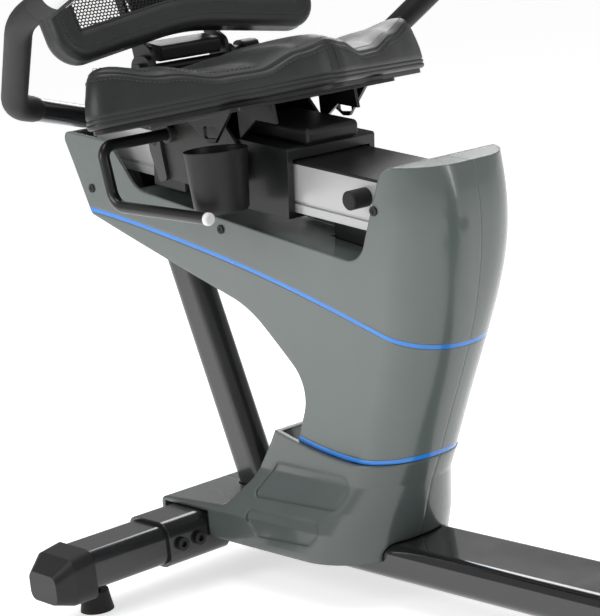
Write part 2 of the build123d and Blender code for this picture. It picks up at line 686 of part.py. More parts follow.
# ---- side handles: rooted on the carriage behind the seat ---------------
TUBE_R = 14.0
BEND = (22.0, 262.0, 569.0)
RISE = (0.72, 0.33, 0.605)
RISE_L, GRIP_L = 150.0, 165.0
HANDLE_TOP = tuple(b + RISE_L * d for b, d in zip(BEND, RISE))
GRIP_DIR = (0.93, 0.02, 0.36)
GRIP_END = tuple(b + GRIP_L * d for b, d in zip(HANDLE_TOP, GRIP_DIR))


def handle_points(hand):
    points = [(-30, UPRIGHT_OUT, 532), (-30, 78, 532), (-16, 150, 541), BEND, HANDLE_TOP, GRIP_END]
    return [at(x, hand * y, z) for x, y, z in points]


with BuildPart() as side_handles:
    for hand in (1, -1):
        with BuildLine() as route:
            FilletPolyline(*handle_points(hand), radius=[40, 60, 42, 90])
        with BuildSketch(Plane(origin=route.line @ 0, z_dir=route.line % 0)):
            Circle(TUBE_R - 1.5)
            Circle(TUBE_R - 4, mode=Mode.SUBTRACT)
        sweep()
put(side_handles, "side_handles")

# Moulded grip skins over the upper runs, with steel pulse plates set in them.
GRIP_AT = [tuple(h + t * d for h, d in zip(HANDLE_TOP, GRIP_DIR)) for t in (48.0, GRIP_L)]
GRIP_PLANES = [
    Plane(origin=at(GRIP_AT[0][0], hand * GRIP_AT[0][1], GRIP_AT[0][2]),
          z_dir=(GRIP_DIR[0], hand * GRIP_DIR[1], GRIP_DIR[2])) for hand in (1, -1)
]
with BuildPart() as handle_grips:
    for plane in GRIP_PLANES:
        with BuildSketch(plane):
            Circle(TUBE_R + 3)
            Circle(TUBE_R - 1.5, mode=Mode.SUBTRACT)
        extrude(amount=GRIP_L - 48)
        with BuildSketch(plane.offset(GRIP_L - 48)):
            Circle(TUBE_R + 3)
        extrude(amount=6)
        fillet(handle_grips.edges().filter_by(GeomType.CIRCLE).sort_by(Axis.X)[-1], 4)
put(handle_grips, "handle_grips")

with BuildPart() as pulse_plates:
    for plane in GRIP_PLANES:
        with BuildSketch(plane.offset(30)):
            Circle(TUBE_R + 4.2)
            Circle(TUBE_R + 3, mode=Mode.SUBTRACT)
            Rectangle(80, 9, mode=Mode.SUBTRACT)
        extrude(amount=60)
put(pulse_plates, "pulse_plates")

# ---- backrest -----------------------------------------------------------
with BuildPart() as backrest_uprights:
    for hand in (1, -1):
        with BuildSketch(side(hand * UPRIGHT_OUT)):
            with BuildLine():
                FilletPolyline(
                    (-48, above_rail(-48, PLATE_V[1])), (-4, above_rail(-4, PLATE_V[1])),
                    (PIVOT_X + 17, PIVOT_Z + 17), (PIVOT_X - 17, PIVOT_Z + 17),
                    radius=[0.5, 0.5, 14, 14], close=True)
            make_face()
        extrude(amount=hand * (UPRIGHT_OUT - UPRIGHT_IN))
    # Pivot pin through both plates; its left end carries the knob.
    with BuildSketch(side(UPRIGHT_OUT + 37.5)):
        with Locations((PIVOT_X, PIVOT_Z)):
            Circle(PIVOT_R)
    extrude(amount=2 * UPRIGHT_OUT + 37.5 + 4)
    with BuildSketch(side(-UPRIGHT_OUT)):
        with Locations((PIVOT_X, PIVOT_Z)):
            RegularPolygon(10, 6)
    extrude(amount=7)
    with BuildSketch(side(UPRIGHT_IN)):
        Polygon(
            (-46, above_rail(-46, PLATE_V[1])), (-40, above_rail(-40, PLATE_V[1])),
            (-40, 548), (-46, 548), align=None)
    extrude(amount=2 * UPRIGHT_IN)
    # Extension of the carriage's top plate under the uprights.
    with BuildSketch(side(UPRIGHT_OUT)):
        Polygon(
            (-50, above_rail(-50, PLATE_V[0])), (-17, above_rail(-17, PLATE_V[0])),
            (-15, above_rail(-15, PLATE_V[1])), (-50, above_rail(-50, PLATE_V[1])), align=None)
    extrude(amount=2 * UPRIGHT_OUT)
put(backrest_uprights, "backrest_uprights")

# Hand knob on the pin's left end; it clamps the recline joint.
with BuildPart() as recline_knob:
    with BuildSketch(side(UPRIGHT_OUT + GAP + 40)):
        with Locations((PIVOT_X, PIVOT_Z)):
            Circle(17)
            with PolarLocations(19, 8):
                Circle(3.5, mode=Mode.SUBTRACT)
    extrude(amount=22)
    with BuildSketch(side(UPRIGHT_OUT + GAP + 18)):
        with Locations((PIVOT_X, PIVOT_Z)):
            Circle(12)
    extrude(amount=18)
    with BuildSketch(side(UPRIGHT_OUT + 38)):
        with Locations((PIVOT_X, PIVOT_Z)):
            Circle(PIVOT_R + 0.06)
    extrude(amount=60, mode=Mode.SUBTRACT)
put(recline_knob, "recline_knob")

# Fork that joins the backrest to its pivot, with the latch box between its arms.
with BuildPart() as backrest_fork:
    for hand in (1, -1):
        with BuildSketch(side(hand * (UPRIGHT_IN - 0.4))):
            with BuildLine():
                FilletPolyline(
                    (PIVOT_X - 15, PIVOT_Z - 15), (PIVOT_X + 15, PIVOT_Z - 15), (PIVOT_X + 13, 601),
                    (-37, 617), (-64, 688), (-76, 684), (-44, 603),
                    radius=[14, 14, 12, 8, 3, 3, 12], close=True)
            make_face()
            with Locations((PIVOT_X, PIVOT_Z)):
                Circle(PIVOT_R + 0.06, mode=Mode.SUBTRACT)
        extrude(amount=hand * 5)
    with BuildSketch(back_face(-BACK_T - 4)):
        block((-UPRIGHT_IN + 4, 36), (UPRIGHT_IN - 4, 120))
    extrude(amount=3.6)
put(backrest_fork, "backrest_fork")

with BuildPart() as latch_box:
    with BuildSketch(side(42)):
        with BuildLine():
            FilletPolyline((-46, 589), (-8, 586), (-6, 603), (-40, 609), radius=4, close=True)
        make_face()
    extrude(amount=84)
put(latch_box, "latch_box")

# Backrest: moulded padded ring around a stretched mesh panel.
BACK_OUTLINE = [
    (-BACK_HALF, 0, 34), (0, 26, 260), (BACK_HALF, 0, 34), (BACK_HALF + 14, 250, 200),
    (BACK_HALF - 18, BACK_H, 70), (-BACK_HALF + 18, BACK_H, 70), (-BACK_HALF - 14, 250, 200),
]
RIM_W = 36.0
with BuildPart() as backrest_frame:
    with BuildSketch(back_face(-BACK_T)):
        with BuildLine():
            FilletPolyline(*places(BACK_OUTLINE), radius=radii(BACK_OUTLINE), close=True)
        make_face()
        offset(amount=-RIM_W, mode=Mode.SUBTRACT)
    extrude(amount=BACK_T)
    chamfer(backrest_frame.faces().sort_by(SortBy.AREA)[-2:].edges(), 6)
put(backrest_frame, "backrest_frame")

with BuildPart() as backrest_mesh:
    with BuildSketch(back_face(-BACK_T / 2 - 2)):
        with BuildLine():
            FilletPolyline(*places(BACK_OUTLINE), radius=radii(BACK_OUTLINE), close=True)
        make_face()
        offset(amount=-RIM_W)
    extrude(amount=4)
put(backrest_mesh, "backrest_mesh")

# ---- seat adjustment: lever, its cross rod and the clamp shoe -----------
with BuildPart() as adjust_lever:
    with BuildLine() as lever_route:
        FilletPolyline(
            at(LEVER_X, -CHEEK_OUT - 0.6, LEVER_Z), at(LEVER_X, -LEVER_Y, LEVER_Z),
            at(LEVER_X + 12, -LEVER_Y, 446), at(LEVER_X + 172, -LEVER_Y, 440), radius=[14, 22])
    with BuildSketch(Plane(origin=lever_route.line @ 0, z_dir=lever_route.line % 0)):
        Circle(LEVER_R)
    sweep()
put(adjust_lever, "adjust_lever")

with BuildPart() as lever_end_cap:
    with BuildSketch(Plane(origin=lever_route.line @ 1, z_dir=lever_route.line % 1)):
        Circle(LEVER_R + 0.4)
    extrude(amount=6)
    fillet(lever_end_cap.edges().group_by(Axis.X)[-1], 3)
put(lever_end_cap, "lever_end_cap")

# The shoe grips the rail's right face between the two sliders.
SHOE_GAP = 0.4
with BuildPart() as clamp_shoe:
    with BuildSketch(rail_side(-RAIL_W / 2 - SHOE_GAP)):
        block((-248, -38), (-186, -8))
    extrude(amount=6)
    chamfer(clamp_shoe.edges().group_by(Axis.Y)[-1], 1.5)
put(clamp_shoe, "clamp_shoe")

# Release paddle on the right cheek; it hangs from its own shoulder pin.
with BuildPart() as paddle_lever:
    with BuildSketch(side(-PADDLE_Y[0])):
        with BuildLine():
            FilletPolyline(
                (-14, 512), (8, 512), (9, 492), (14, 458), (0, 455), (-12, 490), radius=[8, 8, 10, 5, 5, 10],
                close=True)
        make_face()
        with Locations((PADDLE_X, PADDLE_Z)):
            Circle(PADDLE_R + 0.06, mode=Mode.SUBTRACT)
    extrude(amount=PADDLE_Y[1] - PADDLE_Y[0])
put(paddle_lever, "paddle_lever")

# ---- drive: post, crank, belt, flywheel and magnetic brake --------------
DRIVE_POST = [(985, BEAM_TOP), (1052, BEAM_TOP), (1040, MAST_FOOT[1] - 4), (985, MAST_FOOT[1] - 4)]
BB_R, BB_HALF, AXLE_R = 25.0, 34.0, 10.0
FLY_AXLE_R = 8.0
BRAKE_X, BRAKE_Z, BRAKE_R = 1040.0, 420.0, 5.0
with BuildPart() as drive_post:
    with BuildSketch(side(26)):
        Polygon(*DRIVE_POST, align=None)
        Polygon((989, BEAM_TOP), (1048, BEAM_TOP), (1036, MAST_FOOT[1] - 10), (989, MAST_FOOT[1] - 10),
                align=None, mode=Mode.SUBTRACT)
    extrude(amount=52)
    with BuildSketch(side(26)):
        Polygon(*DRIVE_POST, align=None)
    extrude(amount=4)
    with BuildSketch(side(-26)):
        Polygon(*DRIVE_POST, align=None)
    extrude(amount=-4)
    # Arm to the bottom bracket and arm to the flywheel bearing.
    with BuildSketch(side(12)):
        Polygon((CRANK_X, CRANK_Z - 22), (990, 262), (990, 400), (CRANK_X, CRANK_Z + 22), align=None)
        Polygon((1040, FLY_Z - 40), (FLY_X, FLY_Z - 16), (FLY_X, FLY_Z + 16), (1040, FLY_Z + 40), align=None)
    extrude(amount=24)
    with BuildSketch(side(BB_HALF)):
        with Locations((CRANK_X, CRANK_Z)):
            Circle(BB_R)
    extrude(amount=2 * BB_HALF)
    with BuildSketch(side(16)):
        with Locations((FLY_X, FLY_Z)):
            Circle(20)
    extrude(amount=32)
    with BuildSketch(side(60)):
        with Locations((CRANK_X, CRANK_Z)):
            Circle(AXLE_R + 0.06)
        with Locations((FLY_X, FLY_Z)):
            Circle(FLY_AXLE_R + 0.06)
    extrude(amount=120, mode=Mode.SUBTRACT)
    # Stud for the magnetic brake's arm.
    with BuildSketch(side(-25)):
        with Locations((BRAKE_X - 10, BRAKE_Z)):
            Circle(BRAKE_R)
    extrude(amount=36)
put(drive_post, "drive_post")

CRANK_IN, CRANK_OUT = 82.0, 96.0  # crank arms, beside the covers
SPINDLE_R, PEDAL_L = 7.0, 96.0
with BuildPart() as crankset:
    for hand, reach in ((-1, CRANK_L), (1, -CRANK_L)):  # right arm forward, left arm back
        with BuildSketch(side(hand * CRANK_OUT)):
            with Locations((CRANK_X, CRANK_Z)):
                Circle(21)
            with Locations((CRANK_X + reach, CRANK_Z)):
                Circle(14)
            Polygon(
                (CRANK_X, CRANK_Z - 17), (CRANK_X + reach, CRANK_Z - 12),
                (CRANK_X + reach, CRANK_Z + 12), (CRANK_X, CRANK_Z + 17), align=None)
        extrude(amount=hand * (CRANK_OUT - CRANK_IN))
        with BuildSketch(side(hand * CRANK_OUT)):
            with Locations((CRANK_X + reach, CRANK_Z)):
                Circle(SPINDLE_R)
        extrude(amount=-hand * (PEDAL_L + 6))
    with BuildSketch(side(CRANK_OUT)):
        with Locations((CRANK_X, CRANK_Z)):
            Circle(AXLE_R)
    extrude(amount=2 * CRANK_OUT)
put(crankset, "crankset")

for name, hand, reach in (("pedal_right", -1, CRANK_L), ("pedal_left", 1, -CRANK_L)):
    with BuildPart() as pedal:
        with BuildSketch(side(hand * (CRANK_OUT + 2))):
            with Locations((CRANK_X + reach, CRANK_Z)):
                RectangleRounded(104, 26, 8)
                Circle(SPINDLE_R + 0.06, mode=Mode.SUBTRACT)
            with Locations((CRANK_X + reach - 32, CRANK_Z), (CRANK_X + reach + 32, CRANK_Z)):
                RectangleRounded(30, 14, 5, mode=Mode.SUBTRACT)
        extrude(amount=-hand * PEDAL_L)
    put(pedal, name)

with BuildPart() as drive_pulley:
    with BuildSketch(side(BELT_Y + BELT_W / 2)):
        with Locations((CRANK_X, CRANK_Z)):
            Circle(PULLEY_R)
            with PolarLocations(66, 5):
                Circle(20, mode=Mode.SUBTRACT)
            Circle(AXLE_R, mode=Mode.SUBTRACT)
    extrude(amount=BELT_W)
put(drive_pulley, "drive_pulley")

BELT_T = 3.0
with BuildPart() as drive_belt:
    with BuildSketch(side(BELT_Y + BELT_W / 2 - 0.5)):
        for outward in (BELT_T, 0):
            mode = Mode.ADD if outward else Mode.SUBTRACT
            with Locations((CRANK_X, CRANK_Z)):
                Circle(PULLEY_R + GAP + outward, mode=mode)
            with Locations((FLY_X, FLY_Z)):
                Circle(SMALL_R + GAP + outward, mode=mode)
            span = hypot(FLY_X - CRANK_X, FLY_Z - CRANK_Z)
            lean = atan2(FLY_Z - CRANK_Z, FLY_X - CRANK_X)
            wedge = (PULLEY_R - SMALL_R) / span
            corners = []
            for turn in (1, -1):
                a = lean + turn * (radians(90) - wedge * 1.037)
                big, small = PULLEY_R + GAP + outward, SMALL_R + GAP + outward
                on_big = (CRANK_X + big * cos(a), CRANK_Z + big * sin(a))
                on_small = (FLY_X + small * cos(a), FLY_Z + small * sin(a))
                corners += [on_big, on_small] if turn > 0 else [on_small, on_big]
            Polygon(*corners, align=None, mode=mode)
    extrude(amount=BELT_W - 1)
put(drive_belt, "drive_belt")

# Flywheel with its shaft and small pulley, turning as one.
with BuildPart() as flywheel:
    with BuildSketch(side(-40)):
        with Locations((FLY_X, FLY_Z)):
            Circle(FLY_R)
    extrude(amount=20)
    with BuildSketch(side(-60)):
        with Locations((FLY_X, FLY_Z)):
            Circle(FLY_R - 18)
            Circle(20, mode=Mode.SUBTRACT)
    extrude(amount=-7, mode=Mode.SUBTRACT)
    with BuildSketch(side(BELT_Y + BELT_W / 2)):
        with Locations((FLY_X, FLY_Z)):
            Circle(FLY_AXLE_R)
    extrude(amount=BELT_Y + BELT_W / 2 + 40)
    with BuildSketch(side(BELT_Y + BELT_W / 2)):
        with Locations((FLY_X, FLY_Z)):
            Circle(SMALL_R)
    extrude(amount=BELT_W)
put(flywheel, "flywheel")

# Magnetic brake: a curved arm of magnets over the flywheel, on its own stud.
with BuildPart() as brake_arm:
    with BuildSketch(side(-41)):
        with Locations((FLY_X, FLY_Z)):
            Circle(FLY_R + 22)
            Circle(FLY_R + 5, mode=Mode.SUBTRACT)
            with Locations((0, -90), (-160, 0)):
                Rectangle(260, 260, mode=Mode.SUBTRACT)
        Polygon((BRAKE_X - 20, BRAKE_Z - 8), (BRAKE_X, BRAKE_Z + 8), (1078, 376), (1046, 365), align=None)
        with Locations((BRAKE_X - 10, BRAKE_Z)):
            Circle(13)
            Circle(BRAKE_R + 0.06, mode=Mode.SUBTRACT)
    extrude(amount=18)
put(brake_arm, "brake_arm")

# ---- drive covers -------------------------------------------------------
DRIVE_HALF = 74.0
DRIVE = [
    (796, 84, 26), (1196, 84, 30), (1216, 300, 90), (1150, 520, 110), (1064, 636, 24), (958, 640, 30),
    (862, 500, 170), (772, 330, 70), (772, 150, 50),
]
DRIVE_FRONT = [(50, 60, 2), (58, 84, 12), (DRIVE_HALF, 190, 60), (DRIVE_HALF, 460, 90), (48, 700, 2)]
with BuildPart() as drive_shell:
    add(crossed_solid(DRIVE, mirrored(DRIVE_FRONT), DRIVE_HALF, 0))
    add(crossed_solid(DRIVE, mirrored(DRIVE_FRONT), DRIVE_HALF, WALL), mode=Mode.SUBTRACT)
    with BuildSketch(side(100)):
        with Locations((CRANK_X, CRANK_Z)):
            Circle(AXLE_R + 4)
        Polygon((980, 60), (1060, 60), (1060, 100), (980, 100), align=None)
    extrude(amount=200, mode=Mode.SUBTRACT)
    with BuildSketch(level(600)):
        with Locations(((DRIVE_POST[2][0] + DRIVE_POST[3][0]) / 2 - 4, 0)):
            RectangleRounded(84, 68, 12)
    extrude(amount=80, mode=Mode.SUBTRACT)
for keep, hand in HANDS:
    with BuildPart() as drive_cover:
        add(drive_shell.part)
        split(bisect_by=Plane.XZ, keep=keep)
    put(drive_cover, "drive_cover_" + hand)

# ---- console mast, front handlebar and console --------------------------
MAST_L = hypot(MAST_TOP[0] - MAST_FOOT[0], MAST_TOP[1] - MAST_FOOT[1])
MAST_DIR = ((MAST_TOP[0] - MAST_FOOT[0]) / MAST_L, 0, (MAST_TOP[1] - MAST_FOOT[1]) / MAST_L)
MAST_PLANE = Plane(origin=at(MAST_FOOT[0], 0, MAST_FOOT[1]), x_dir=(0, 1, 0), z_dir=MAST_DIR)
MAST_W, MAST_D = 54.0, 36.0
HINGE_X, HINGE_Z = MAST_TOP[0] - 2, MAST_TOP[1] + 30
BAR_AT = 0.78  # the handlebar's clamp, as a fraction of the mast's height
BAR_X = MAST_FOOT[0] + BAR_AT * (MAST_TOP[0] - MAST_FOOT[0]) - MAST_D / 2 - 13.5
BAR_Z = MAST_FOOT[1] + BAR_AT * (MAST_TOP[1] - MAST_FOOT[1])
with BuildPart() as console_mast:
    with BuildSketch(MAST_PLANE):
        RectangleRounded(MAST_W, MAST_D, 14)
        RectangleRounded(MAST_W - 5, MAST_D - 5, 11.5, mode=Mode.SUBTRACT)
    extrude(amount=MAST_L)
    # Two ears at the top hold the console's hinge pin.
    for hand in (1, -1):
        with BuildSketch(side(hand * 27)):
            with BuildLine():
                FilletPolyline(
                    (MAST_TOP[0] - 14, MAST_TOP[1] - 30), (MAST_TOP[0] + 20, MAST_TOP[1] - 26),
                    (HINGE_X + 14, HINGE_Z + 14), (HINGE_X - 14, HINGE_Z + 14),
                    radius=[2, 2, 12, 12], close=True)
            make_face()
        extrude(amount=hand * 5)
    # Hinge pin, and the clamp that holds the handlebar.
    with BuildSketch(side(30)):
        with Locations((HINGE_X, HINGE_Z)):
            Circle(5)
    extrude(amount=60)
    with BuildSketch(side(24)):
        with Locations((BAR_X, BAR_Z)):
            Circle(20)
            Rectangle(16, 40, align=(Align.MIN, Align.CENTER))
            Circle(12.56, mode=Mode.SUBTRACT)
    extrude(amount=48)
put(console_mast, "console_mast")

with BuildPart() as front_handlebar:
    with BuildLine() as bar_route:
        FilletPolyline(
            at(BAR_X - 150, 205, BAR_Z + 92), at(BAR_X - 60, 215, BAR_Z + 40), at(BAR_X, 130, BAR_Z),
            at(BAR_X, -130, BAR_Z), at(BAR_X - 60, -215, BAR_Z + 40),
            at(BAR_X - 150, -205, BAR_Z + 92), radius=[40, 50, 50, 40])
    with BuildSketch(Plane(origin=bar_route.line @ 0, z_dir=bar_route.line % 0)):
        Circle(12.5)
        Circle(10, mode=Mode.SUBTRACT)
    sweep()
put(front_handlebar, "front_handlebar")

with BuildPart() as handlebar_grips:
    for hand in (1, -1):
        far, near = at(BAR_X - 150, hand * 205, BAR_Z + 92), at(BAR_X - 60, hand * 215, BAR_Z + 40)
        along = Vector(near[0] - far[0], near[1] - far[1], near[2] - far[2]).normalized()
        with BuildSketch(Plane(origin=far, z_dir=along)):
            Circle(16)
            Circle(12.5, mode=Mode.SUBTRACT)
        extrude(amount=78)
        with BuildSketch(Plane(origin=far, z_dir=along)):
            Circle(16)
        extrude(amount=-5)
put(handlebar_grips, "handlebar_grips")

CON_W, CON_H, CON_T = 320.0, 210.0, 34.0
with BuildPart() as console_housing:
    with BuildSketch(console_face(0)):
        RectangleRounded(CON_W, CON_H, 34)
    with BuildSketch(console_face(-CON_T)):
        RectangleRounded(CON_W - 50, CON_H - 50, 30)
    loft(ruled=True)
    with BuildSketch(console_face(-8)):
        RectangleRounded(CON_W - 12, CON_H - 12, 30)
    with BuildSketch(console_face(-CON_T + 3)):
        RectangleRounded(CON_W - 58, CON_H - 58, 28)
    loft(ruled=True, mode=Mode.SUBTRACT)
    with BuildSketch(console_face(-8)):
        with Locations((0, 22)):
            Rectangle(214, 122)
        with Locations((-60, -70), (60, -70)):
            Circle(10.3)
        with Locations((0, -70)):
            Circle(4.06)
    extrude(amount=8, mode=Mode.SUBTRACT)
    # Hinge lug between the mast's ears.
    with BuildSketch(side(21.6)):
        with Locations(Location((HINGE_X, HINGE_Z), 180 - CONSOLE_TILT)):
            Circle(13)
            Rectangle(28.5, 22, align=(Align.MIN, Align.CENTER))
            Circle(5.06, mode=Mode.SUBTRACT)
    extrude(amount=43.2)
put(console_housing, "console_housing")

with BuildPart() as console_screen:
    with BuildSketch(console_face(-6)):
        with Locations((0, 22)):
            Rectangle(213.6, 121.6)
    extrude(amount=5)
put(console_screen, "console_screen")

for name, key_x in (("start_key", -60), ("stop_key", 60)):
    with BuildPart() as key:
        with BuildSketch(console_face(-6)):
            with Locations((key_x, -70)):
                Circle(10)
        extrude(amount=9)
        chamfer(key.faces().sort_by(Axis((0, 0, 0), (-CON_C, 0, CON_S)))[-1].edges(), 1)
    put(key, name)

with BuildPart() as level_dial:
    with BuildSketch(console_face(GAP)):
        with Locations((0, -70)):
            Circle(22)
            with PolarLocations(23.5, 16):
                Circle(2.2, mode=Mode.SUBTRACT)
    extrude(amount=14)
    with BuildSketch(console_face(-8 - GAP)):
        with Locations((0, -70)):
            Circle(4)
    extrude(amount=8 + 2 * GAP)
put(level_dial, "level_dial")

# ---- transport wheels on the front tube ---------------------------------
for name, hand in (("transport_wheel_right", -1), ("transport_wheel_left", 1)):
    with BuildPart() as wheel:
        with BuildSketch(side(hand * WHEEL_Y + WHEEL_W / 2)):
            with Locations((WHEEL_X, WHEEL_Z)):
                Circle(WHEEL_R)
                Circle(4.06, mode=Mode.SUBTRACT)
        extrude(amount=WHEEL_W)
        fillet(wheel.edges().filter_by(GeomType.CIRCLE).sort_by(SortBy.LENGTH)[-2:], 4)
    put(wheel, name)
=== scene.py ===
import json
from math import cos, exp, pi, radians, sin, tan

import bmesh
import bpy
from mathutils import Matrix, Vector, noise


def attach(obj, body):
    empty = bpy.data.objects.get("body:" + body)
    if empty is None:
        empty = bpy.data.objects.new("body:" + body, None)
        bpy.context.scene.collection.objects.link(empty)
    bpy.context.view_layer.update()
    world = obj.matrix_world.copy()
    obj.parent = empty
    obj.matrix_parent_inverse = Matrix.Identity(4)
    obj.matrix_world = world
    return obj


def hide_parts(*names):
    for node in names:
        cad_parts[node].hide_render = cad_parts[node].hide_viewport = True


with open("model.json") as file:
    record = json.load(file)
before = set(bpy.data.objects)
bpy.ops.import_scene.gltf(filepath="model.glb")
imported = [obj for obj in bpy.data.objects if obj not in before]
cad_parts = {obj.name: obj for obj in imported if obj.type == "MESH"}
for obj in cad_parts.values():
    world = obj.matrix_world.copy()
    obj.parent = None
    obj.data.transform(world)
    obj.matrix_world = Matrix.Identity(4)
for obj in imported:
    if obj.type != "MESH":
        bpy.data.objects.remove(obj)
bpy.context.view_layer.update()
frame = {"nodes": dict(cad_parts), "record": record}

# Recumbent exercise bike.  Lengths below are in millimetres from the rear
# stabiliser, as in the CAD; place() turns them into metres in the row frame.
MID = 567.0


def place(x, y, z):
    return Vector(((x - MID) / 1000, y / 1000, z / 1000))


# ---- materials ----------------------------------------------------------
def node_tree(name):
    made = bpy.data.materials.new(name)
    made.use_nodes = True
    tree = made.node_tree
    return made, tree, tree.nodes["Principled BSDF"]


def add_node(tree, kind, **inputs):
    made = tree.nodes.new(kind)
    for key, value in inputs.items():
        made.inputs[key.replace("_", " ")].default_value = value
    return made


def noise_node(tree, coords, scale, detail=3.0, roughness=0.55):
    made = add_node(tree, "ShaderNodeTexNoise", Scale=scale, Detail=detail, Roughness=roughness)
    tree.links.new(coords, made.inputs["Vector"])
    return made.outputs["Fac"]


def ranged(tree, value, low, high, start=0.3, end=0.7):
    made = tree.nodes.new("ShaderNodeMapRange")
    made.inputs["From Min"].default_value = start
    made.inputs["From Max"].default_value = end
    made.inputs["To Min"].default_value = low
    made.inputs["To Max"].default_value = high
    tree.links.new(value, made.inputs["Value"])
    return made.outputs["Result"]


def mixed(tree, factor, first, second):
    made = tree.nodes.new("ShaderNodeMix")
    made.data_type = "RGBA"
    tree.links.new(factor, made.inputs["Factor"])
    made.inputs["A"].default_value = (*first, 1)
    made.inputs["B"].default_value = (*second, 1)
    return made.outputs["Result"]


COAT_ROUGH = 0.06
CELL_WEIGHT = 1.6
BUMP_STRENGTH = 0.6


def surface(
    name, color, rough, metal=0.0, tone=0.07, rough_play=0.04, grain=900.0, grain_depth=0.00002,
    patch=14.0, coat=0.0, edge=0.0008, specular=0.5, stretch=(1, 1, 1), cells=0.0,
):
    """Procedural finish: colour and roughness vary in soft patches, and a fine grain makes the bump.

    cells adds a pebbled leather or foam grain, stretch draws the grain out along the metal, and edge is the
    radius by which sharp edges catch the light."""
    made, tree, shader = node_tree(name)
    coords = add_node(tree, "ShaderNodeTexCoord").outputs["Object"]
    if stretch != (1, 1, 1):
        mapping = add_node(tree, "ShaderNodeMapping", Scale=stretch)
        tree.links.new(coords, mapping.inputs["Vector"])
        grain_coords = mapping.outputs["Vector"]
    else:
        grain_coords = coords
    patches = noise_node(tree, coords, patch, 4.0)
    fine = noise_node(tree, grain_coords, grain, 2.0)
    dark = tuple(c * (1 - tone) for c in color)
    light = tuple(min(1, c * (1 + tone)) for c in color)
    tree.links.new(mixed(tree, ranged(tree, patches, 0, 1), dark, light), shader.inputs["Base Color"])
    roughness = ranged(tree, patches, max(0.02, rough - rough_play), min(1, rough + rough_play))
    tree.links.new(roughness, shader.inputs["Roughness"])
    height = fine
    if cells:
        voronoi = add_node(tree, "ShaderNodeTexVoronoi", Scale=cells)
        voronoi.feature = "SMOOTH_F1"
        tree.links.new(coords, voronoi.inputs["Vector"])
        summed = tree.nodes.new("ShaderNodeMath")
        summed.operation = "MULTIPLY_ADD"
        tree.links.new(voronoi.outputs["Distance"], summed.inputs[0])
        summed.inputs[1].default_value = CELL_WEIGHT
        tree.links.new(fine, summed.inputs[2])
        height = summed.outputs[0]
    bump = add_node(tree, "ShaderNodeBump", Strength=BUMP_STRENGTH, Distance=grain_depth)
    tree.links.new(height, bump.inputs["Height"])
    if edge:
        rounded_edge = add_node(tree, "ShaderNodeBevel", Radius=edge)
        rounded_edge.samples = 6
        tree.links.new(rounded_edge.outputs["Normal"], bump.inputs["Normal"])
    tree.links.new(bump.outputs["Normal"], shader.inputs["Normal"])
    shader.inputs["Metallic"].default_value = metal
    shader.inputs["Coat Weight"].default_value = coat
    shader.inputs["Coat Roughness"].default_value = COAT_ROUGH
    shader.inputs["Specular IOR Level"].default_value = specular
    return made


